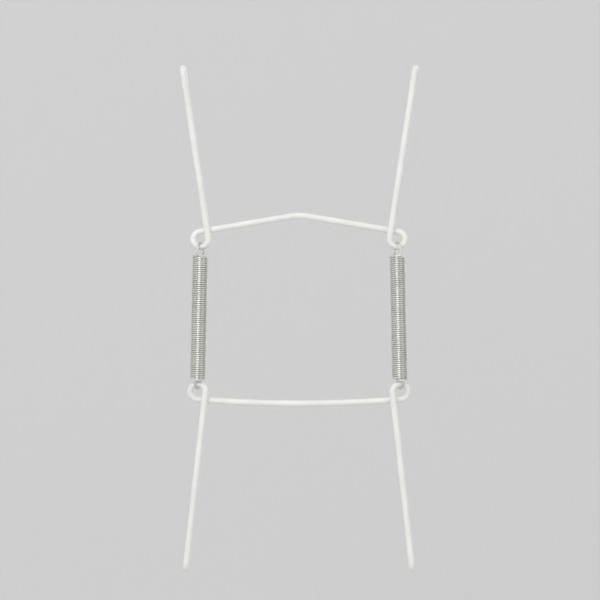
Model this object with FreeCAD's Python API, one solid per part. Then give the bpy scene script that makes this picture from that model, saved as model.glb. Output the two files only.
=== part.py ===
"""Wire plate hanger: two coated wires, each bent from one length, pulled together by two extension springs.

Millimetres, +Z up. The origin is the nail seat, under the peak of the upper bar.
+Y points to the plate, so the wall, and the viewer of the photograph, are on the -Y side.
"""

import FreeCAD, Part
import os
from math import atan2, cos, hypot, pi, radians, sin, sqrt, tan

V = FreeCAD.Vector

# the coated wire, the same for both bends
wire_diameter = 2.0
crossing_gap = 0.1  # clear space where an arm passes its bar
eye_inner_diameter = 2.9

# the upper wire
upper_eye_span = 63.0  # between the eyes' centres
upper_bar_fall = 9.6  # degrees, from the peak down to each eye
peak_bend_radius = 19.0
upper_arm_lean = 8.6  # degrees from upright
upper_arm_length = 56.2  # from the eye to the outside of the claw

# the lower wire
lower_eye_span = 64.9
lower_bar_bow = 4.6  # degrees, from level at each end
lower_arm_lean = 6.35
lower_arm_length = 58.0

# the claws that hold the plate's rim
claw_gap = 6.0  # clear, between the arm and the tip
claw_bend_radius = 2.5  # of the centre line
claw_reach = 7.4  # outside of the claw to the tip's end
tip_chamfer = 0.4

# the springs
spring_wire = 0.65
turn_gap = 0.03
coil_outer_diameter = 5.1
turns = 58
hook_bend_radius = 0.7  # where the last turn stands up into the end loop
upper_hook_leg = 1.36  # straight part below the upper end loop
lower_hook_leg = 0.05
hook_wrap = 220.0  # degrees of the end loop
hook_turn = 65.0  # degrees, from the hanger's plane to the end loop's plane
link_gap = 0.1  # clear, between an end loop and the eye's wire

# how finely the bends are drawn, within the library's limit on triangles
wire_sides = 12
spring_sides = 4
bend_step = 18.0  # degrees of a bend in one straight run
steps_per_turn = 8

# worked out from the above
wire_radius = wire_diameter / 2
lead = wire_diameter + crossing_gap  # from the bar's plane to the arms' plane
eye_radius = (eye_inner_diameter + wire_diameter) / 2
coil_radius = (coil_outer_diameter - spring_wire) / 2
pitch = spring_wire + turn_gap
loop_radius = hypot(coil_radius, hook_bend_radius)
hook_start = atan2(hook_bend_radius, coil_radius)

fall, bow = radians(upper_bar_fall), radians(lower_bar_bow)
peak_z = wire_radius + peak_bend_radius * (1 / cos(fall) - 1)  # where the two halves of the bar would meet
upper_eye = V(-upper_eye_span / 2, 0, peak_z - upper_eye_span / 2 * tan(fall) - eye_radius / cos(fall))


def hook_height(leg):
    """From the coil's end to the middle of the eye's wire that the loop hangs on."""
    return hook_bend_radius + leg + loop_radius - spring_wire / 2 - link_gap - wire_radius


spring_length = turns * pitch + hook_height(upper_hook_leg) + hook_height(lower_hook_leg)
splay = (lower_eye_span - upper_eye_span) / 2
lower_eye_z = upper_eye.z - 2 * eye_radius - sqrt(spring_length**2 - splay**2)
lower_eye = V(-lower_eye_span / 2, 0, lower_eye_z)


def eye_point(centre, begin, finish, up, t):
    """A point of the eye, from the bar (t = 0) to the arm (t = 1). It moves toward the wall as it turns."""
    angle = begin + (finish - begin) * t
    ring = V(cos(angle), 0, up * sin(angle)) * eye_radius
    return centre + ring - V(0, lead * t * t * (3 - 2 * t), 0)


def link_point(centre, begin, finish, up):
    """The middle of the wire at the side of the eye that faces the spring."""
    return eye_point(centre, begin, finish, up, (1.5 * pi - begin) / (finish - begin))


def solid_of(rings):
    """A solid with these sections. Neighbours are joined by flat sides, or by pairs of triangles where a side twists."""
    faces = [Part.Face(Part.makePolygon(ring + ring[:1])) for ring in (rings[0], rings[-1])]
    for near, far in zip(rings, rings[1:]):
        for i in range(len(near)):
            a, b, c, d = near[i - 1], near[i], far[i], far[i - 1]
            twist = abs((b - a).cross(d - a).normalize().dot(c - a))
            for corners in [[a, b, c, d]] if twist < 1e-7 else [[a, b, c], [a, c, d]]:
                faces.append(Part.Face(Part.makePolygon(corners + corners[:1])))
    solid = Part.Solid(Part.Shell(faces))
    if solid.Volume < 0:
        solid.reverse()
    return solid


def round_wire(path):
    """The coated wire along a bent path. Straight runs meet on the plane that halves each corner; the cut ends are bevelled."""
    runs = [(b - a).normalize() for a, b in zip(path, path[1:])]
    across = runs[0].cross(V(1, 0, 0)).normalize()
    other = runs[0].cross(across)
    corners = [2 * pi * (i + 0.5) / wire_sides for i in range(wire_sides)]
    ring = [path[0] + (across * cos(a) + other * sin(a)) * wire_radius for a in corners]
    rings = [ring]
    for k, run in enumerate(runs):
        cut = run + runs[k + 1] if k + 1 < len(runs) else run
        ring = [q + run * ((path[k + 1] - q).dot(cut) / run.dot(cut)) for q in ring]
        rings.append(ring)
    small = 1 - tip_chamfer / wire_radius
    start, end = [[p + (q - p) * small for q in r] for p, r in ((path[0], rings[0]), (path[-1], rings[-1]))]
    rings[0] = [q + runs[0] * tip_chamfer for q in rings[0]]
    rings[-1] = [q - runs[-1] * tip_chamfer for q in rings[-1]]
    return solid_of([start] + rings + [end])


def steps(angle):
    return max(2, round(angle / radians(bend_step)))


def bend(start, ahead, turn_to, radius):
    """Points of a quarter bend after its start, from the direction ahead to the direction turn_to."""
    count = steps(pi / 2)
    angles = [pi / 2 * (i + 1) / count for i in range(count)]
    return [start + (ahead * sin(a) + turn_to * (1 - cos(a))) * radius for a in angles]


def left_half(centre, begin, finish, up, arm_length):
    """The centre line of the left eye, arm and claw, from the end of the bar to the claw's tip."""
    count = steps(finish - begin)
    path = [eye_point(centre, begin, finish, up, i / count) for i in range(count + 1)]
    along, plate = V(-sin(finish), 0, up * cos(finish)), V(0, 1, 0)
    radius = claw_bend_radius
    path.append(path[-1] + along * (arm_length - radius - wire_radius))
    path += bend(path[-1], along, plate, radius)
    path.append(path[-1] + plate * (claw_gap + wire_diameter - 2 * radius))
    path += bend(path[-1], plate, along * -1, radius)
    path.append(path[-1] - along * (claw_reach - radius - wire_radius))
    return path


def both_halves(left):
    """The whole centre line, from the left claw's tip to the right one's. The given half ends in the middle or beside it."""
    right = [V(-p.x, p.y, p.z) for p in left if p.x < -1e-9]
    return left[::-1] + right


def upper_wire():
    begin, finish = pi / 2 + fall, 2 * pi + radians(upper_arm_lean)
    half = left_half(upper_eye, begin, finish, 1, upper_arm_length)
    peak = [V(-sin(a), 0, cos(a) - 1) * peak_bend_radius for a in (0, fall / 2, fall)]
    path = both_halves([p + V(0, 0, wire_radius) for p in peak] + half)
    return round_wire(path), link_point(upper_eye, begin, finish, 1)


def lower_wire():
    begin, finish = pi / 2 + bow, 2 * pi + radians(lower_arm_lean)
    half = left_half(lower_eye, begin, finish, -1, lower_arm_length)
    radius = -half[0].x / sin(bow)
    middle = half[0].z - radius * (1 - cos(bow))
    bar = [V(-sin(a), 0, 1 - cos(a)) * radius + V(0, 0, middle) for a in (0, bow / 3, bow * 2 / 3)]
    return round_wire(both_halves(bar + half)), link_point(lower_eye, begin, finish, -1)


def hook_stations(leg):
    """How the wire runs from the coil's top end into its loop: (place, section's outward axis, section's side axis)."""
    u, v, w = V(1, 0, 0), V(0, 1, 0), V(0, 0, 1)
    c, s = cos(hook_start), sin(hook_start)
    out, ahead = u * c - v * s, u * s + v * c
    stations = []
    for i in range(1, 4):
        a = pi / 2 * i / 3
        rise = ahead * sin(a) + w * (1 - cos(a))
        stations.append((out * coil_radius + rise * hook_bend_radius, out, w * cos(a) - ahead * sin(a)))
    loops = 10
    for i in range(loops + 1):
        a = radians(hook_wrap) * i / loops
        r = u * cos(a) + w * sin(a)
        stations.append((r * loop_radius + w * (hook_bend_radius + leg), r * c - v * s, (r * s + v * c) * -1))
    return stations


def spring(foot, head, hook_side):
    """A close-wound spring between two link points, its end loops starting on the given side."""
    w = (head - foot).normalize()
    u = (hook_side - w * hook_side.dot(w)).normalize()
    v = w.cross(u)
    low, top = hook_height(lower_hook_leg), turns * pitch

    def upside_down(q):
        return V(q.x, -q.y, -q.z)

    stations = [(upside_down(p), upside_down(o), upside_down(s) * -1) for p, o, s in hook_stations(lower_hook_leg)][::-1]
    sweep = 2 * (pi * turns - hook_start)
    count = round(turns * steps_per_turn)
    for i in range(count + 1):
        a = hook_start + sweep * i / count
        out = V(cos(a), sin(a), 0)
        stations.append((out * coil_radius + V(0, 0, top * i / count), out, V(0, 0, 1)))
    stations += [(p + V(0, 0, top), o, s) for p, o, s in hook_stations(upper_hook_leg)]
    corners = [2 * pi * i / spring_sides for i in range(spring_sides)]
    rings = []
    for p, o, s in stations:
        ring = [p + (o * cos(a) + s * sin(a)) * (spring_wire / 2) for a in corners]
        rings.append([foot + u * q.x + v * q.y + w * (q.z + low) for q in ring])
    return solid_of(rings)


upper, upper_link = upper_wire()
lower, lower_link = lower_wire()
turn = radians(hook_turn)
left = spring(lower_link, upper_link, V(-cos(turn), -sin(turn), 0))
right = spring(
    V(-lower_link.x, lower_link.y, lower_link.z),
    V(-upper_link.x, upper_link.y, upper_link.z),
    V(cos(turn), -sin(turn), 0),
)

os.makedirs("parts", exist_ok=True)
for name, shape in {"upper_wire": upper, "lower_wire": lower, "left_spring": left, "right_spring": right}.items():
    shape.exportStep(f"parts/{name}.step")
    print(name, shape.isValid(), shape.ShapeType, round(shape.Volume, 2), shape.BoundBox)
print("links", upper_link, lower_link)
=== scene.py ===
# %% [markdown]
# # A wire plate hanger
# A hanger for a wall plate is two lengths of plastic-coated wire, each bent into a bar, two
# eyes, two arms and two claws. Two close-wound springs hang in the eyes and draw the wires
# together. Every piece is a round wire that follows a path, so this lesson is about paths:
# each one is worked out as an array of points, and one function carries a ring along it.

# %% [markdown]
# ## The frame
# The hanger's solids are made and jointed already, and they come in as a fixed frame of named
# bodies. New skins could be moved and stretched until they fit over the solids. Here they are
# worked out in the same frame and from the same sizes instead, so nothing has to be fitted.

import bpy
import numpy as np
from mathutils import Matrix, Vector


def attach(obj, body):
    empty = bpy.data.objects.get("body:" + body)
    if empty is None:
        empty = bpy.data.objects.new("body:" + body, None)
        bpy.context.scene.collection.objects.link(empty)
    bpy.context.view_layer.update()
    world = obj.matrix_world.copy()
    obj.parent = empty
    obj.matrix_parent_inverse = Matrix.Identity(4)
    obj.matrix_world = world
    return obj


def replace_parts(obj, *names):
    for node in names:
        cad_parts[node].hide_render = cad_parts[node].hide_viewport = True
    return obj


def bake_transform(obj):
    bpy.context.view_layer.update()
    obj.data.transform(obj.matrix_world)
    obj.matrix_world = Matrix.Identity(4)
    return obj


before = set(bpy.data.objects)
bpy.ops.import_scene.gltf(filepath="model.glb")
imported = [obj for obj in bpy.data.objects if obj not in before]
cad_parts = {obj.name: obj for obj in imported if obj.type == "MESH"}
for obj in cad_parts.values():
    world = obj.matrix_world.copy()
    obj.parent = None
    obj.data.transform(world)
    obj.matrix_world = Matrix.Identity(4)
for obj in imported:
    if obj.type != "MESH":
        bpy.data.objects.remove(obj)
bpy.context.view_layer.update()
MM = 0.001

# %% [markdown]
# ## A ring carried along a path
# A wire could be a curve with a round bevel, but a bevelled curve turns its ring by itself
# and has no place for the coating's small unevenness. Here the ring is written out. At each
# station the path has a direction and a normal, the third axis is square to both, and a
# point of the skin is: station + radius x (normal x cos + third axis x sin). A cut end
# closes on one point, a pole, at the middle of its last ring.


# %% Directions along a path
def unit(v):
    """Each row divided by its own length."""
    return v / np.linalg.norm(v, axis=-1, keepdims=True)


def run_length(points):
    """Distance travelled along the path at each station: the running sum of the steps' lengths."""
    return np.concatenate([[0], np.cumsum(np.linalg.norm(np.diff(points, axis=0), axis=1))])


def axes_along(points, normals):
    """The direction between the neighbours, the normal made square to it, and their cross product."""
    ahead = unit(np.gradient(points, run_length(points), axis=0))
    normals = unit(normals - ahead * (normals * ahead).sum(1, keepdims=True))
    return ahead, normals, np.cross(ahead, normals)


def ring_angles(sides):
    """The angles of a ring's corners, evenly spaced round it from 0."""
    return 2 * np.pi * np.arange(sides) / sides


print("a ring of 4 has its corners at", np.degrees(ring_angles(4)), "degrees")


# %% Faces between the rings
def ring_faces(stations, sides):
    """Quad (i, j) joins corners j and j + 1 of rings i and i + 1; a fan joins each end ring to its pole.

    Corner j of ring i is vertex i x sides + j, and the two poles come last.
    """
    i, j = np.meshgrid(np.arange(stations - 1), np.arange(sides), indexing="ij")
    k = (j + 1) % sides
    near, far = i * sides, (i + 1) * sides
    quads = np.stack([near + j, near + k, far + k, far + j], -1).reshape(-1, 4)
    j, k = j[0], k[0]
    last_ring = (stations - 1) * sides
    pole = np.full(sides, stations * sides)
    first_fan = np.stack([pole, k, j], 1)
    last_fan = np.stack([pole + 1, last_ring + j, last_ring + k], 1)
    return quads.tolist() + first_fan.tolist() + last_fan.tolist()


print("a tube of 3 such rings has", len(ring_faces(3, 4)), "faces")

# %% [markdown]
# ## Two maps of the skin
# A map tells a pattern where it is on the surface. The first one, along_wire, counts
# centimetres along the wire and turns round it, for patterns that follow the wire. The second
# one is for baking the finish to a picture: there each face needs a place of its own, so the
# wire is cut into rows that lie one above another. Blender could unwrap it by itself, but
# into many small scraps that lie all ways. In both maps here, u runs along the wire.


# %% Places of the corners
def corner_places(run, sides, cap):
    """For each corner of each face: its place along the wire, its share of a turn, and its face's middle.

    A pole lies past its end of the wire by the cap's radius. The share counts down as the
    ring's angle goes up, so that a map made from it isn't a mirror image.
    """
    i, j = np.meshgrid(np.arange(len(run) - 1), np.arange(sides), indexing="ij")
    quad_along = np.stack([run[i], run[i], run[i + 1], run[i + 1]], -1).reshape(-1, 4)
    quad_round = np.stack([j, j + 1, j + 1, j], -1)
    j = j[0]
    first_along = np.tile([run[0] - cap, run[0], run[0]], sides)
    first_round = np.stack([j + 0.5, j + 1, j], 1)
    last_along = np.tile([run[-1] + cap, run[-1], run[-1]], sides)
    last_round = np.stack([j + 0.5, j, j + 1], 1)
    along = np.concatenate([quad_along.ravel(), first_along, last_along])
    turned = np.concatenate([quad_round.ravel(), first_round.ravel(), last_round.ravel()])
    middle = np.concatenate([np.repeat(quad_along.mean(1), 4), np.repeat(run[[0, -1]], 3 * sides)])
    return along, 1 - turned / sides, middle


tube_places = corner_places(np.array([0.0, 1.0, 2.0]), 4, 0.5)
print("that tube's faces have", len(tube_places[0]), "corners")

# %% The map in rows
ROW_END = 0.02  # left free at each end of a row, as a share of its length
ROW_GAP = 0.05  # left free above and below a row, as a share of its height


def row_map(along, share, middle, length, girth):
    """u is the place along the face's own row, and v is the row plus the share of a turn, over all rows.

    The rows number the square root of length / girth, so that the map is as fine both ways.
    """
    rows = max(1, round((length / girth) ** 0.5))
    row = np.clip(np.floor(rows * middle / length), 0, rows - 1)
    u = ROW_END + (1 - 2 * ROW_END) * (rows * along / length - row)
    v = (row + ROW_GAP + (1 - 2 * ROW_GAP) * share) / rows
    return np.stack([u, v], 1)


tube_map = row_map(*tube_places, length=2.0, girth=0.5)
print("and its map spans", tube_map.min(0).round(2), "to", tube_map.max(0).round(2))

# %% The skin of a wire
POLE_RISE = 0.02  # how far a pole stands out from its end ring, in millimetres


def skin_of(points, normals, radius):
    """Skin[i, j] = station[i] + radius[i, j] (normal[i] cos a[j] + third[i] sin a[j]), and two poles."""
    ahead, normals, third = axes_along(points, normals)
    a = ring_angles(radius.shape[1])[:, None]
    ring = normals[:, None] * np.cos(a) + third[:, None] * np.sin(a)
    skin = points[:, None] + ring * radius[..., None]
    first_pole = skin[0].mean(0) - ahead[0] * POLE_RISE
    last_pole = skin[-1].mean(0) + ahead[-1] * POLE_RISE
    return np.concatenate([skin.reshape(-1, 3), [first_pole, last_pole]])


tube_skin = skin_of(np.outer([0.0, 1.0, 2.0], [0, 0, 1]), np.array([[1.0, 0, 0]] * 3), np.full((3, 4), 0.5))
print("a tube 2 long and 1 across fills the box", np.ptp(tube_skin, axis=0).round(2))

# %% A wire as an object
CENTIMETRE = 10  # millimetres


def wire_mesh(name, points, normals, radius, mark, values):
    """An object from the skin, its faces, its two maps and one marked value at each corner of each ring.

    Sizes are given in millimetres. A pole's value is the mean of its end ring.
    """
    stations, sides = radius.shape
    mesh = bpy.data.meshes.new(name)
    mesh.from_pydata(skin_of(points, normals, radius) * MM, [], ring_faces(stations, sides))
    run = run_length(points)
    along, share, middle = corner_places(run, sides, radius[0].mean())
    pattern_map = np.stack([along / CENTIMETRE, share], 1)
    bake_map = row_map(along, share, middle, run[-1], 2 * np.pi * radius.mean())
    for label, places in (("along_wire", pattern_map), ("OFBake", bake_map)):
        mesh.uv_layers.new(name=label).data.foreach_set("uv", places.astype(np.float32).ravel())
    values = np.concatenate([values.ravel(), [values[0].mean(), values[-1].mean()]])
    mesh.attributes.new(mark, "FLOAT", "POINT").data.foreach_set("value", values.astype(np.float32))
    mesh.polygons.foreach_set("use_smooth", np.ones(len(mesh.polygons), bool))
    mesh.validate()
    piece = bpy.data.objects.new(name, mesh)
    bpy.context.scene.collection.objects.link(piece)
    print(name, "has", len(mesh.polygons), "faces along", round(run[-1], 1), "mm of wire")
    return piece


# %% [markdown]
# ## The sizes of the bends
# These are the numbers that a maker would set, in millimetres and degrees, and the same ones
# that shape the solids. The frame's origin is the nail seat, under the peak of the upper bar.
# +Y points to the plate, so the camera stands on the wall side. The places of the eyes could
# be typed in as well, but they follow: the upper ones from the bar's slope, and the lower
# ones from the length of the springs.

# %% Sizes of the coated wires
WIRE_R = 1.0
LEAD = 2.1  # from the bar's plane to the arms' plane
EYE_R = 2.45
PEAK_R = 19.0
CLAW_R = 2.5
CLAW_ACROSS = 8.0  # from the middle of the arm to the middle of the tip
CLAW_REACH = 7.4  # from the outside of the claw to the tip's end
PLATE = np.array([0.0, 1.0, 0.0])  # the direction to the plate
MIRROR = np.array([-1, 1, 1])  # turns the left side into the right one
upper = {"up": 1, "span": 63.0, "fall": np.radians(9.6), "lean": np.radians(8.6), "arm": 56.2}
lower = {"up": -1, "span": 64.9, "fall": np.radians(4.6), "lean": np.radians(6.35), "arm": 58.0}
peak_z = WIRE_R + PEAK_R * (1 / np.cos(upper["fall"]) - 1)  # where the bar's two halves would meet
bar_drop = upper["span"] / 2 * np.tan(upper["fall"])
upper["eye_z"] = peak_z - bar_drop - EYE_R / np.cos(upper["fall"])
print("the upper eyes are at z =", round(upper["eye_z"], 2), "mm")

# %% Sizes of the springs
SPRING_WIRE = 0.65
COIL_OUTER = 5.1
TURNS = 58
PITCH = 0.68
HOOK_BEND = 0.7  # radius of the bend where the last turn stands up into the end loop
HOOK_WRAP = np.radians(220)  # how far the end loop goes round
HOOK_TURN = np.radians(65)  # from the hanger's plane to an end loop's plane
HOOK_LEG = {"upper": 1.36, "lower": 0.05}  # the straight part between the bend and the loop
LINK_GAP = 0.1  # clear, between an end loop and the eye's wire
COIL_R = (COIL_OUTER - SPRING_WIRE) / 2
LOOP_R = np.hypot(COIL_R, HOOK_BEND)
HOOK_START = np.arctan2(HOOK_BEND, COIL_R)
loop_height = HOOK_BEND + LOOP_R - SPRING_WIRE / 2 - LINK_GAP - WIRE_R
hook_height = {end: leg + loop_height for end, leg in HOOK_LEG.items()}
spring_length = TURNS * PITCH + sum(hook_height.values())
splay = (lower["span"] - upper["span"]) / 2
lower["eye_z"] = upper["eye_z"] - 2 * EYE_R - np.sqrt(spring_length**2 - splay**2)
print("springs of", round(spring_length, 2), "mm put the lower eyes at z =", round(lower["eye_z"], 2), "mm")

# %% [markdown]
# ## The bent wires
# Seen from the front an eye is a ring of three quarters of a turn. Where the arm leaves, it
# has to pass the bar that came in, so the ring moves toward the wall by one wire as it goes
# round, slowly at both ends. The arm then runs straight to the claw, which is two quarter
# bends with a short run between them. The right half could be worked out in the same way,
# but it is the left half with x turned round.


# %% The eye
def eye_turn(wire):
    """The angle from bar to arm: three quarters of a turn, plus the arm's lean, less the bar's fall."""
    return 1.5 * np.pi + wire["lean"] - wire["fall"]


def eye_at(wire, t):
    """Centre + radius (cos, sin) of an angle that grows with t, less a smooth step of the lead in y."""
    angle = np.pi / 2 + wire["fall"] + eye_turn(wire) * t
    ring = np.stack([np.cos(angle), 0 * t, wire["up"] * np.sin(angle)], -1) * EYE_R
    step = np.stack([0 * t, LEAD * t * t * (3 - 2 * t), 0 * t], -1)
    return np.array([-wire["span"] / 2, 0, wire["eye_z"]]) + ring - step


def link_of(wire):
    """The middle of the eye's wire where it faces the spring, at an angle of three quarters of a turn."""
    t = (np.pi - wire["fall"]) / eye_turn(wire)
    return eye_at(wire, np.array([t]))[0]


print("the left spring hangs between", link_of(upper).round(2), "and", link_of(lower).round(2))

# %% The claw
QUARTER_STEPS, ACROSS_STEPS, TIP_STEPS = 24, 8, 11
TIP_DOME = 0.85  # length of the tip's rounded end
TIP_SHORT = 0.004  # the last ring stops this short, where the pole closes the tip


def quarter_bend(start, ahead, turn_to, radius, steps):
    """Start + radius (ahead sin q + turn_to (1 - cos q)), q up to a right angle, without the first point."""
    q = np.linspace(0, np.pi / 2, steps + 1)[1:, None]
    return start + (ahead * np.sin(q) + turn_to * (1 - np.cos(q))) * radius


def claw_of(start, along):
    """A quarter bend to the plate, a run, a quarter bend back, and a tip that is finer toward its end."""
    first = quarter_bend(start, along, PLATE, CLAW_R, QUARTER_STEPS)
    run = np.linspace(0, CLAW_ACROSS - 2 * CLAW_R, ACROSS_STEPS + 1)[1:, None]
    across = first[-1] + PLATE * run
    second = quarter_bend(across[-1], PLATE, -along, CLAW_R, QUARTER_STEPS)
    tip_run = CLAW_REACH - CLAW_R - WIRE_R
    straight = np.linspace(0, tip_run - TIP_DOME, TIP_STEPS + 1)[1:-1]
    dome = tip_run - TIP_DOME * (1 - np.sin(np.linspace(0, np.pi / 2, TIP_STEPS + 1)[:-1]))
    reach = np.concatenate([straight, dome, [tip_run - TIP_SHORT]])
    return first, across, second, second[-1] - along * reach[:, None]


print("a claw has", sum(len(run) for run in claw_of(np.zeros(3), np.array([0.0, 0.0, 1.0]))), "stations")

# %% Half a wire
EYE_STEPS, ARM_STEPS = 120, 89


def half_of(wire):
    """Stations and normals from the end of the bar to the left claw's tip, and how tightly each is bent.

    Eye and arm take the plate's direction as normal. In the claw the normal turns with the bends.
    """
    t = np.linspace(0, 1, EYE_STEPS + 1)
    eye = eye_at(wire, t)
    along = np.array([-np.sin(wire["lean"]), 0, wire["up"] * np.cos(wire["lean"])])
    straight = np.linspace(0, wire["arm"] - CLAW_R - WIRE_R, ARM_STEPS + 1)[1:, None]
    arm = eye[-1] + along * straight
    first, across, second, tip = claw_of(arm[-1], along)
    claw = np.concatenate([first, across, second, tip])
    ahead = unit(np.gradient(claw, run_length(claw), axis=0))
    plain = np.broadcast_to(PLATE, (len(eye) + len(arm), 3))
    normals = np.concatenate([plain, np.cross(np.cross(along, PLATE), ahead)])
    sharp = np.sin(np.linspace(0, np.pi, QUARTER_STEPS + 1)[1:])
    arm_bent, across_bent, tip_bent = [np.zeros(len(run)) for run in (arm, across, tip)]
    bent = [np.sqrt(np.sin(np.pi * t)), arm_bent, sharp, across_bent, sharp, tip_bent]
    return np.concatenate([eye, arm, claw]), normals, np.concatenate(bent)


for wire in (upper, lower):
    print("half a wire is", round(run_length(half_of(wire)[0])[-1], 1), "mm long without its bar")

# %% [markdown]
# ## The coating on the wire
# A dipped coat isn't a perfect tube. It rounds the cut tip off, gathers in a slight bead
# behind it, and swells and thins by about a hundredth along the wire. Bending also flattens
# the wire a little across each bend. A bump in the finish could suggest this, but then the
# outline would stay dead straight, so it all goes into the radius of the rings.

# %% The coating's radius
TIP_LEAST = 0.03  # radius of the last ring of a tip, as a share of the wire's
BEAD, BEAD_AT, BEAD_WIDTH = 0.035, 1.6, 1.0  # a share of the radius, then millimetres
FLATTENING = 0.025  # a share of the radius, where a bend is tightest
WAVE_HEIGHTS = np.array([0.006, 0.004, 0.003])  # shares of the radius
WAVE_RATES = np.array([0.41, 1.13, 2.7])  # radians in a millimetre
WAVE_SHIFT = 2.0  # radians by which the second wave starts ahead


def coat_radius(wire, s, bent, a):
    """Wire radius x a dome at each tip x a bell curve behind it x three slow waves x an oval at each bend."""
    from_tip = np.minimum(s, s[-1] - s)
    into_dome = np.clip(1 - from_tip / TIP_DOME, 0, 1)
    dome = np.sqrt(np.clip(1 - into_dome**2, TIP_LEAST**2, 1))
    bead = 1 + BEAD * np.exp(-(((from_tip - BEAD_AT) / BEAD_WIDTH) ** 2))
    shifts = [wire["up"], WAVE_SHIFT, 0]  # the first one differs between the two wires
    uneven = 1 + np.sin(np.outer(s, WAVE_RATES) + shifts) @ WAVE_HEIGHTS
    oval = 1 - FLATTENING * bent[:, None] * np.cos(2 * (a - np.pi / 2))
    return (WIRE_R * dome * bead * uneven)[:, None] * oval


tip = coat_radius(upper, np.array([0.0, BEAD_AT, 100.0]), np.zeros(3), np.zeros(1))[:2, 0]
print("from a tip's end to its bead the radius grows from", tip[0].round(3), "to", tip[1].round(3), "mm")

# %% One wire from tip to tip
WIRE_SIDES = 36
RUB_WIDTH = 1.3  # of the mark that a spring's loop leaves in its eye


def bent_wire(name, wire, bar):
    """The left half backwards, the bar, and the left half with x turned round.

    The rub is a bell curve of the distance to the nearer link, on the inner side of the eye.
    """
    points, normals, bent = half_of(wire)
    path = np.concatenate([points[::-1], bar, points * MIRROR])
    normals = np.concatenate([normals[::-1], np.broadcast_to(PLATE, bar.shape), normals * MIRROR])
    bent = np.concatenate([bent[::-1], np.zeros(len(bar)), bent])
    a = ring_angles(WIRE_SIDES)
    radius = coat_radius(wire, run_length(path), bent, a)
    links = link_of(wire), link_of(wire) * MIRROR
    near = np.minimum(*[np.linalg.norm(path - link, axis=1) for link in links])
    inner_side = np.clip(np.cos(a + wire["up"] * np.pi / 2), 0, 1)
    rub = np.exp(-((near / RUB_WIDTH) ** 2))[:, None] * inner_side
    return wire_mesh(name, path, normals, radius, "rub", rub)


print("a ring of the coated wire has a corner every", 360 / WIRE_SIDES, "degrees")

# %% [markdown]
# ## The two bars
# The upper bar is two straight halves that meet in a round peak: the peak is what finds the
# nail. The lower bar is one shallow bow. Either could be a spline through a few points, but
# an arc says exactly what the bending tool did. Both start and end where their eyes begin.

# %% The upper bar
PEAK_STEPS, SLOPE_STEPS = 40, 60
falling = upper["fall"] * np.linspace(-1, 1, PEAK_STEPS + 1)[:, None]
peak = np.concatenate([np.sin(falling), 0 * falling, np.cos(falling) - 1], 1) * PEAK_R + [0, 0, WIRE_R]
left_end = eye_at(upper, np.array([0.0]))
left_slope = left_end + (peak[0] - left_end) * np.linspace(0, 1, SLOPE_STEPS + 1)[1:-1, None]
upper_bar = np.concatenate([left_slope, peak, left_slope[::-1] * MIRROR])
upper_wire = bent_wire("upper_coated_wire", upper, upper_bar)

# %% The lower bar
BOW_STEPS = 141
left_end = eye_at(lower, np.array([0.0]))[0]
bow_radius = -left_end[0] / np.sin(lower["fall"])
bow = lower["fall"] * np.linspace(-1, 1, BOW_STEPS + 1)[1:-1, None]
sag = np.cos(lower["fall"]) - np.cos(bow)
lower_bar = np.concatenate([np.sin(bow), 0 * bow, sag], 1) * bow_radius + [0, 0, left_end[2]]
lower_wire = bent_wire("lower_coated_wire", lower, lower_bar)

# %% [markdown]
# ## The springs
# An extension spring is wound with its turns touching, and its last turn at each end is bent
# up into a loop. A screw modifier could wind the coil, but not run on into the loops without
# a joint. So the path is written out: a helix, a tight quarter bend, a short straight leg and
# most of a circle that stands on the coil. The lower end is the upper end turned over, which
# leaves a helix as it was. A section's first axis points away from the spring's middle.

# %% The end loop
HOOK_STEPS, LEG_STEPS, LOOP_STEPS = 18, 9, 96


def end_loop(leg):
    """Stations and normals from the coil's end, in the spring's own axes.

    They are a quarter bend, a straight leg, and an arc of the wrap angle: radius (cos, 0, sin).
    """
    c, s = np.cos(HOOK_START), np.sin(HOOK_START)
    out, ahead, up = np.array([c, -s, 0]), np.array([s, c, 0]), np.array([0.0, 0.0, 1.0])
    bend = quarter_bend(out * COIL_R, ahead, up, HOOK_BEND, HOOK_STEPS)
    straight = bend[-1] + up * np.linspace(0, leg, LEG_STEPS + 1)[1:-1, None]
    a = np.linspace(0, HOOK_WRAP, LOOP_STEPS + 1)[:, None]
    ring = np.concatenate([np.cos(a), 0 * a, np.sin(a)], 1)
    loop = ring * LOOP_R + up * (HOOK_BEND + leg)
    flat = np.broadcast_to(out, (len(bend) + len(straight), 3))
    return np.concatenate([bend, straight, loop]), np.concatenate([flat, ring * c - [0, s, 0]])


print("the upper end loop takes", round(run_length(end_loop(HOOK_LEG["upper"])[0])[-1], 1), "mm of wire")

# %% The path of a spring
STEPS_PER_TURN = 44
TURN_OVER = np.array([1, -1, -1])


def spring_path():
    """Stations and normals of loop, helix and loop, and a 1 where a station is in the coil.

    The helix is radius (cos, sin) of an angle that grows evenly with the height.
    """
    top = np.array([0, 0, TURNS * PITCH])
    low_points, low_normals = [x[::-1] * TURN_OVER for x in end_loop(HOOK_LEG["lower"])]
    high_points, high_normals = end_loop(HOOK_LEG["upper"])
    t = np.linspace(0, 1, TURNS * STEPS_PER_TURN + 1)[:, None]
    a = HOOK_START + 2 * (np.pi * TURNS - HOOK_START) * t
    out = np.concatenate([np.cos(a), np.sin(a), 0 * a], 1)
    points = np.concatenate([low_points, out * COIL_R + top * t, high_points + top])
    normals = np.concatenate([low_normals, out, high_normals])
    in_coil = np.concatenate([np.zeros(len(low_points)), np.ones(len(t)), np.zeros(len(high_points))])
    return points, normals, in_coil


print("a spring's path has", len(spring_path()[0]), "stations")

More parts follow.
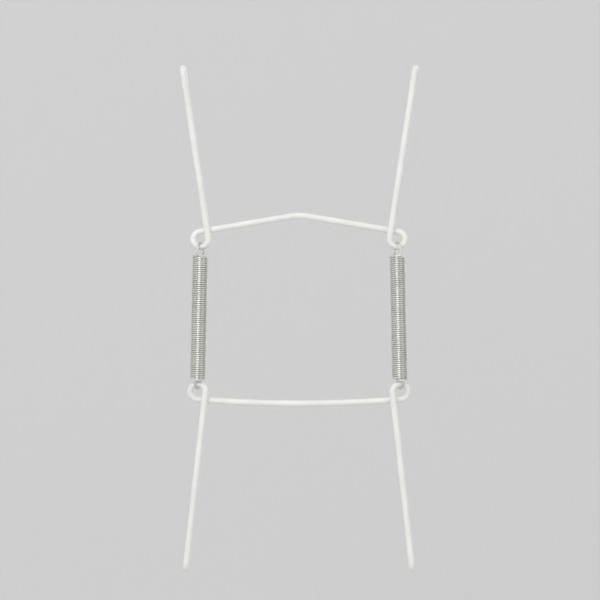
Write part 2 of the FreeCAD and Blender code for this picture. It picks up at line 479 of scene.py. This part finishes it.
# %% A spring in its place
SPRING_SIDES = 12
CUT_DEPTH, CUT_LENGTH = 0.18, 0.05  # how the wire narrows where it was cut
FACING_FROM = 0.5  # sine of the angle on the section where it starts to face the next turn


def spring(name, side):
    """The path turned so that its axis joins the two link points. side is -1 on the left, 1 on the right.

    The painted shade between the turns grows from the wire's crest to the sides that face other turns.
    """
    flip = np.array([-side, 1, 1])
    head, foot = link_of(upper) * flip, link_of(lower) * flip
    points, normals, in_coil = spring_path()
    axis = unit(head - foot)
    toward = np.array([side * np.cos(HOOK_TURN), -np.sin(HOOK_TURN), 0])
    u = unit(toward - axis * (toward @ axis))
    axes = np.stack([u, np.cross(axis, u), axis])
    placed = foot + (points + [0, 0, hook_height["lower"]]) @ axes
    s = run_length(points)
    cut = 1 - CUT_DEPTH * np.exp(-np.minimum(s, s[-1] - s) / CUT_LENGTH)
    radius = np.repeat((SPRING_WIRE / 2 * cut)[:, None], SPRING_SIDES, axis=1)
    facing = (np.abs(np.sin(ring_angles(SPRING_SIDES))) - FACING_FROM) / (1 - FACING_FROM)
    # painted shade between the turns: 0 at the crest, up to 1 on the sides that face other turns
    between = in_coil[:, None] * np.clip(facing, 0, 1)
    piece = wire_mesh(name, placed, normals @ axes, radius, "painted_shade_between_turns", between)
    centre_line = np.concatenate([np.repeat(placed, SPRING_SIDES, axis=0), placed[[0, -1]]])
    coil_ends = head - axis * hook_height["upper"], foot + axis * hook_height["lower"]
    return piece, centre_line, coil_ends


left_spring = spring("left_extension_spring", -1)
right_spring = spring("right_extension_spring", 1)

# %% [markdown]
# ## Effects that both finishes share
# A shader group keeps an effect in one place, where copies in each material would drift
# apart. The first one is a soft mottle: two sizes of noise that are mixed into one mask, for
# colour that isn't dead even. The second one draws fine lines along the wire, as drawing it
# through a die leaves them. It reads the map along_wire and bends it into a tube, so that
# the lines meet where the map's two edges do.


# %% Groups and nodes
def new_group(name, inputs, outputs):
    """An empty group with its sockets: an input is (name, kind, value), an output (name, kind)."""
    group = bpy.data.node_groups.new(name, "ShaderNodeTree")
    for label, kind, value in inputs:
        socket = group.interface.new_socket(label, in_out="INPUT", socket_type=kind)
        if value is not None:
            socket.default_value = value
    for label, kind in outputs:
        group.interface.new_socket(label, in_out="OUTPUT", socket_type=kind)
    return group, group.nodes.new("NodeGroupInput"), group.nodes.new("NodeGroupOutput")


def add(tree, kind, inputs=None, **settings):
    """A node with its settings. An input given as (node, output name) is linked, any other is set."""
    node = tree.nodes.new(kind)
    for key, value in settings.items():
        setattr(node, key, value)
    for name, source in (inputs or {}).items():
        if isinstance(source, tuple):
            tree.links.new(source[0].outputs[source[1]], node.inputs[name])
        else:
            node.inputs[name].default_value = source
    return node


print("groups so far:", len(bpy.data.node_groups))

# %% Soft mottle
FINER, FINE_SHARE = 11.0, 0.35  # how much finer the second noise is, and how much it adds
mottle, given, result = new_group(
    "soft_mottle",
    [("Place", "NodeSocketVector", None), ("Size per metre", "NodeSocketFloat", 200.0)],
    [("Mask", "NodeSocketFloat"), ("Fine", "NodeSocketFloat")],
)
spot, size = (given, "Place"), (given, "Size per metre")
wide = add(mottle, "ShaderNodeTexNoise", {"Vector": spot, "Scale": size, "Detail": 3.0})
finer = add(mottle, "ShaderNodeMath", {0: size, 1: FINER}, operation="MULTIPLY")
fine = add(mottle, "ShaderNodeTexNoise", {"Vector": spot, "Scale": (finer, "Value"), "Detail": 2.0})
both_sum = {0: (fine, "Fac"), 1: FINE_SHARE, 2: (wide, "Fac")}
both = add(mottle, "ShaderNodeMath", both_sum, operation="MULTIPLY_ADD")
soft_range = {"Value": (both, "Value"), "From Min": 0.42, "From Max": 0.95}
soft = add(mottle, "ShaderNodeMapRange", soft_range, clamp=True)
mottle.links.new(soft.outputs["Result"], result.inputs["Mask"])
mottle.links.new(fine.outputs["Fac"], result.inputs["Fine"])
print(mottle.name, "has", len(mottle.nodes), "nodes")

# %% Drawn lines
lines, given, result = new_group(
    "drawn_lines",
    [
        ("Map", "NodeSocketVector", None),
        ("Lines round", "NodeSocketFloat", 40.0),
        ("Length", "NodeSocketFloat", 1.2),
    ],
    [("Mask", "NodeSocketFloat")],
)
apart = add(lines, "ShaderNodeSeparateXYZ", {"Vector": (given, "Map")})
turned = add(lines, "ShaderNodeMath", {0: (apart, "Y"), 1: 2 * np.pi}, operation="MULTIPLY")
cosine = add(lines, "ShaderNodeMath", {0: (turned, "Value")}, operation="COSINE")
sine = add(lines, "ShaderNodeMath", {0: (turned, "Value")}, operation="SINE")
x = add(lines, "ShaderNodeMath", {0: (cosine, "Value"), 1: (given, "Lines round")}, operation="MULTIPLY")
y = add(lines, "ShaderNodeMath", {0: (sine, "Value"), 1: (given, "Lines round")}, operation="MULTIPLY")
z = add(lines, "ShaderNodeMath", {0: (apart, "X"), 1: (given, "Length")}, operation="MULTIPLY")
drawn = add(lines, "ShaderNodeCombineXYZ", {"X": (x, "Value"), "Y": (y, "Value"), "Z": (z, "Value")})
streak_noise = {"Vector": (drawn, "Vector"), "Scale": 0.3, "Detail": 4.0, "Roughness": 0.65}
streak = add(lines, "ShaderNodeTexNoise", streak_noise)
sharp_range = {"Value": (streak, "Fac"), "From Min": 0.30, "From Max": 0.70}
sharp = add(lines, "ShaderNodeMapRange", sharp_range, clamp=True)
lines.links.new(sharp.outputs["Result"], result.inputs["Mask"])
print(lines.name, "has", len(lines.nodes), "nodes")

# %% [markdown]
# ## The white coating
# The coating is a plastic film, so it is a plain dielectric with a half gloss. One white all
# over would be quick, but real film is never one white: it is a little warmer and darker in
# places, and its surface has the shallow waviness of a dipped or sprayed coat. Where a
# spring's loop bears on an eye it leaves a faint grey rub, which follows the value that was
# worked out with the skin.

# %% The coating's colour
WARM_WHITE = [0.785, 0.775, 0.735, 1]
CLEAR_WHITE = [0.865, 0.86, 0.835, 1]
RUBBED_GREY = [0.46, 0.455, 0.44, 1]


def new_material(name):
    """A material with nodes, its tree, and the Principled shader that a new tree holds."""
    material = bpy.data.materials.new(name)
    material.use_nodes = True
    return material, material.node_tree, material.node_tree.nodes["Principled BSDF"]


coating, tree, surface = new_material("white_plastic_coating")
place = add(tree, "ShaderNodeTexCoord")
broad_cloud = {"Place": (place, "Object"), "Size per metre": 140.0}
cloud = add(tree, "ShaderNodeGroup", broad_cloud, node_tree=mottle)
whites = {"Factor": (cloud, "Mask"), "A": WARM_WHITE, "B": CLEAR_WHITE}
white = add(tree, "ShaderNodeMix", whites, data_type="RGBA")
rub = add(tree, "ShaderNodeAttribute", attribute_name="rub")
broken = add(tree, "ShaderNodeMath", {0: (rub, "Fac"), 1: (cloud, "Fine")}, operation="MULTIPLY")
faint_range = {"Value": (broken, "Value"), "From Min": 0.3, "From Max": 0.7, "To Max": 0.55}
faint = add(tree, "ShaderNodeMapRange", faint_range, clamp=True)
rubbed_mix = {"Factor": (faint, "Result"), "A": (white, "Result"), "B": RUBBED_GREY}
rubbed = add(tree, "ShaderNodeMix", rubbed_mix, data_type="RGBA")
tree.links.new(rubbed.outputs["Result"], surface.inputs["Base Color"])
print(coating.name, "goes from", WARM_WHITE[:3], "to", CLEAR_WHITE[:3])

# %% The coating's gloss and relief
LINES_IN_GLOSS, LINES_IN_RELIEF = 0.6, 0.35  # how much the lines add to the mottle and to the fine relief
along_wire = add(tree, "ShaderNodeUVMap", uv_map="along_wire")
broad_lines = {"Map": (along_wire, "UV"), "Lines round": 9.0, "Length": 1.5}
streaks = add(tree, "ShaderNodeGroup", broad_lines, node_tree=lines)
sheen_sum = {0: (streaks, "Mask"), 1: LINES_IN_GLOSS, 2: (cloud, "Mask")}
sheen = add(tree, "ShaderNodeMath", sheen_sum, operation="MULTIPLY_ADD")
gloss_range = {"Value": (sheen, "Value"), "From Max": 1 + LINES_IN_GLOSS, "To Min": 0.46, "To Max": 0.30}
gloss = add(tree, "ShaderNodeMapRange", gloss_range, clamp=True)
tree.links.new(gloss.outputs["Result"], surface.inputs["Roughness"])
peel = add(tree, "ShaderNodeTexNoise", {"Vector": (place, "Object"), "Scale": 1300.0, "Detail": 2.0})
height_sum = {0: (streaks, "Mask"), 1: LINES_IN_RELIEF, 2: (peel, "Fac")}
height = add(tree, "ShaderNodeMath", height_sum, operation="MULTIPLY_ADD")
bump = add(tree, "ShaderNodeBump", {"Height": (height, "Value"), "Strength": 0.6, "Distance": 0.00005})
tree.links.new(bump.outputs["Normal"], surface.inputs["Normal"])
print(coating.name, "has", len(tree.nodes), "nodes")

# %% [markdown]
# ## The spring steel
# The springs are bright plated wire, so this is a metal. Drawing leaves fine lines along the
# wire. They change its gloss, and they spread what it mirrors across the wire, so a coil
# shows one narrow bright line down its length. A smoother metal would show each lamp on each
# turn instead. The sides of the wire that face other turns get a painted shade, a little
# darker than its crest, where neighbouring turns meet.

# %% The steel's colour
DULL_STEEL = [0.645, 0.642, 0.60, 1]
BRIGHT_STEEL = [0.765, 0.761, 0.722, 1]
# the darker grey of the painted shade between the turns
PAINTED_SHADE_GREY = [0.48, 0.475, 0.45, 1]
LINES_IN_TONE = 0.5  # how much the lines add to the mottle
steel, tree, surface = new_material("bright_spring_steel")
along_wire = add(tree, "ShaderNodeUVMap", uv_map="along_wire")
streaks = add(tree, "ShaderNodeGroup", {"Map": (along_wire, "UV")}, node_tree=lines)
place = add(tree, "ShaderNodeTexCoord")
small_cloud = {"Place": (place, "Object"), "Size per metre": 260.0}
cloud = add(tree, "ShaderNodeGroup", small_cloud, node_tree=mottle)
tone_sum = {0: (streaks, "Mask"), 1: LINES_IN_TONE, 2: (cloud, "Mask")}
tone = add(tree, "ShaderNodeMath", tone_sum, operation="MULTIPLY_ADD")
greys = {"Factor": (tone, "Value"), "A": DULL_STEEL, "B": BRIGHT_STEEL}
bright = add(tree, "ShaderNodeMix", greys, data_type="RGBA")
# painted shade: the sides of the wire that face other turns are mixed a little toward the darker grey
between = add(tree, "ShaderNodeAttribute", attribute_name="painted_shade_between_turns")
painted_turn_shade = add(tree, "ShaderNodeMapRange", {"Value": (between, "Fac"), "To Max": 0.15}, clamp=True)
shaded_mix = {"Factor": (painted_turn_shade, "Result"), "A": (bright, "Result"), "B": PAINTED_SHADE_GREY}
shaded = add(tree, "ShaderNodeMix", shaded_mix, data_type="RGBA")
tree.links.new(shaded.outputs["Result"], surface.inputs["Base Color"])
print(steel.name, "goes from", DULL_STEEL[:3], "to", BRIGHT_STEEL[:3])

# %% The steel's gloss and lines
gloss_range = {"Value": (tone, "Value"), "To Min": 0.50, "To Max": 0.42}
gloss = add(tree, "ShaderNodeMapRange", gloss_range, clamp=True)
tree.links.new(gloss.outputs["Result"], surface.inputs["Roughness"])
surface.inputs["Metallic"].default_value = 1.0
lie = add(tree, "ShaderNodeTangent", direction_type="UV_MAP", uv_map="along_wire")
tree.links.new(lie.outputs["Tangent"], surface.inputs["Tangent"])
surface.inputs["Anisotropic"].default_value = 0.8
surface.inputs["Anisotropic Rotation"].default_value = 0.25  # a quarter turn, so across the wire
bump = add(tree, "ShaderNodeBump", {"Height": (streaks, "Mask"), "Strength": 0.2, "Distance": 0.000006})
tree.links.new(bump.outputs["Normal"], surface.inputs["Normal"])
print(steel.name, "has", len(tree.nodes), "nodes")

# %% [markdown]
# ## What moves with what
# Each wire rides on its own body. A real coil opens evenly, while a blend by a smooth step of
# its place along the coil would open the middle turns most and pull the wire out of round.
# Here each spring's skin is drawn in to the coil's axis, to the places where the smooth step
# gives each ring its own share of the way down, and then it is let out again. The springs
# are not put on bodies or blended between them here.

# %% The wires' bodies
for piece, node in ((upper_wire, "upper_wire"), (lower_wire, "lower_wire")):
    piece.data.materials.append(coating)
    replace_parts(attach(piece, node), node)
    print(piece.name, "rides on", node)


# %% The springs, drawn in and let out
def even_places(centre_line, top, bottom):
    """Places on the coil's axis where the smooth step 3t^2 - 2t^3 equals the share of the way down."""
    axis = bottom - top
    share = np.clip((centre_line - top) @ axis / (axis @ axis), 0, 1)
    t = 0.5 - np.sin(np.arcsin(1 - 2 * share) / 3)
    return top + t[:, None] * axis


for made, node in ((left_spring, "left_spring"), (right_spring, "right_spring")):
    piece, centre_line, (top, bottom) = made
    piece.data.materials.append(steel)
    skin = np.empty(centre_line.size)
    piece.data.vertices.foreach_get("co", skin)
    drawn_in = even_places(centre_line, top, bottom)
    piece.data.vertices.foreach_set("co", drawn_in.ravel() * MM)
    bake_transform(piece)
    piece.data.vertices.foreach_set("co", skin)
    piece.data.update()
    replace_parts(piece, node)
    print(piece.name, "stretches over", round(float(np.linalg.norm(top - bottom)), 2), "mm of coil")

# %% [markdown]
# ## The stage
# The hanger hangs in front of one pale sheet that is floor and backdrop in one, far enough
# back and down to leave room for the stretched and swung hanger. Two planes would show a line
# where they meet, so the sheet is a profile with a round bend, drawn out sideways. Seen from
# behind it is clear, and it lets the lamp behind it shine through.

# %% The sheet
FLOOR_Z = -0.26
BACK_Y = 0.30
SHEET_BEND = 0.10  # radius
SHEET_HALF = 1.6  # half its width, and how far it comes forward
SHEET_TOP = 1.2
SHEET_STEPS = 16  # in the bend
q = np.linspace(0, np.pi / 2, SHEET_STEPS + 1)
profile_y = np.concatenate([[-SHEET_HALF], BACK_Y - SHEET_BEND * (1 - np.sin(q)), [BACK_Y]])
profile_z = np.concatenate([[FLOOR_Z], FLOOR_Z + SHEET_BEND * (1 - np.cos(q)), [SHEET_TOP]])
edges_x = np.array([-SHEET_HALF, SHEET_HALF])
grid = np.stack(np.broadcast_arrays(edges_x, profile_y[:, None], profile_z[:, None]), -1)
i = np.arange(len(profile_y) - 1)
faces = np.stack([2 * i, 2 * i + 1, 2 * i + 3, 2 * i + 2], 1)
mesh = bpy.data.meshes.new("studio_sheet")
mesh.from_pydata(grid.reshape(-1, 3), [], faces.tolist())
mesh.polygons.foreach_set("use_smooth", np.ones(len(mesh.polygons), bool))
sheet = bpy.data.objects.new("studio_sheet", mesh)
bpy.context.scene.collection.objects.link(sheet)

# %% The sheet's paper
PALE_GREY = (0.63, 0.63, 0.623, 1)
paper, tree, surface = new_material("pale_studio_sheet")
surface.inputs["Base Color"].default_value = PALE_GREY
surface.inputs["Roughness"].default_value = 0.9
behind = add(tree, "ShaderNodeNewGeometry")
ray = add(tree, "ShaderNodeLightPath")
clear = add(tree, "ShaderNodeBsdfTransparent")
either = {0: (behind, "Backfacing"), 1: (ray, "Is Shadow Ray")}
let_by = add(tree, "ShaderNodeMath", either, operation="MAXIMUM")
one_way = add(tree, "ShaderNodeMixShader", {0: (let_by, "Value"), 1: (surface, "BSDF"), 2: (clear, "BSDF")})
tree.links.new(one_way.outputs["Shader"], tree.nodes["Material Output"].inputs["Surface"])
sheet.data.materials.append(paper)
print(paper.name, "is clear from behind")

# %% [markdown]
# ## Light
# A bare bulb would draw a hard glint on each turn of the springs. Large soft lamps are used
# instead: a tall key lamp high on the left gives the wires their bright side, a wide one at
# the side reaches the wires' left flanks, a weak one fills the right, and one behind
# lights the side that faces the plate. An even world lifts the shadows. Together they light
# the hanger at a plain level, at which white stays just below clipping.

# %% Lamps
AIM = Vector((0, 0, -0.03))


def lamp(name, place, width, height, power):
    """A rectangular area lamp at a place, turned so that its own -Z looks at the aim."""
    data = bpy.data.lights.new(name, "AREA")
    data.shape = "RECTANGLE"
    data.size, data.size_y, data.energy = width, height, power
    light = bpy.data.objects.new(name, data)
    light.location = place
    light.rotation_euler = (AIM - Vector(place)).to_track_quat("-Z", "Y").to_euler()
    bpy.context.scene.collection.objects.link(light)
    print(name, "lamp of", power, "W stands", round((AIM - Vector(place)).length, 2), "m away")


lamp("key", (-0.65, -2.1, 1.55), width=1.3, height=3.0, power=33.0)
lamp("side", (-2.1, -0.6, 0.4), width=2.0, height=2.4, power=8.0)
lamp("fill", (1.9, -1.7, 0.3), width=1.6, height=1.6, power=9.0)
lamp("back", (0.9, 2.0, 0.7), width=1.2, height=1.2, power=24.0)

# %% World
world = bpy.data.worlds.new("studio")
world.use_nodes = True
air = world.node_tree.nodes["Background"]
air.inputs["Color"].default_value = (0.97, 0.98, 1.0, 1)
air.inputs["Strength"].default_value = 0.58
bpy.context.scene.world = world
bpy.context.scene.view_settings.view_transform = "Standard"
print("the world gives", round(air.inputs["Strength"].default_value, 2), "all round")

# %% [markdown]
# ## The camera
# The hanger is seen square on from the wall side, with hardly any perspective. A camera close
# by with a wide lens would show the claws and the arms at different sizes, so it stands far
# off with a long lens. The lens follows from the size of a pixel at the hanger, and the
# camera's place from the pixel that shows the nail seat.

# %% Camera
PICTURE = 600  # pixels each way
PIXEL = 0.321 * MM  # at the hanger
SEAT_COLUMN, SEAT_ROW = 299, 218.9  # where the nail seat is in the picture
FAR_OFF = 1.6
camera = bpy.data.cameras.new("wall_side")
camera.sensor_width = 36.0
camera.lens = camera.sensor_width * FAR_OFF / (PICTURE * PIXEL)
camera.clip_end = 10
viewer = bpy.data.objects.new("wall_side", camera)
viewer.location = ((PICTURE / 2 - SEAT_COLUMN) * PIXEL, -FAR_OFF, (SEAT_ROW - PICTURE / 2) * PIXEL)
viewer.rotation_euler = (np.pi / 2, 0, 0)
bpy.context.scene.collection.objects.link(viewer)
bpy.context.scene.camera = viewer
print("the lens is", round(camera.lens), "mm long")
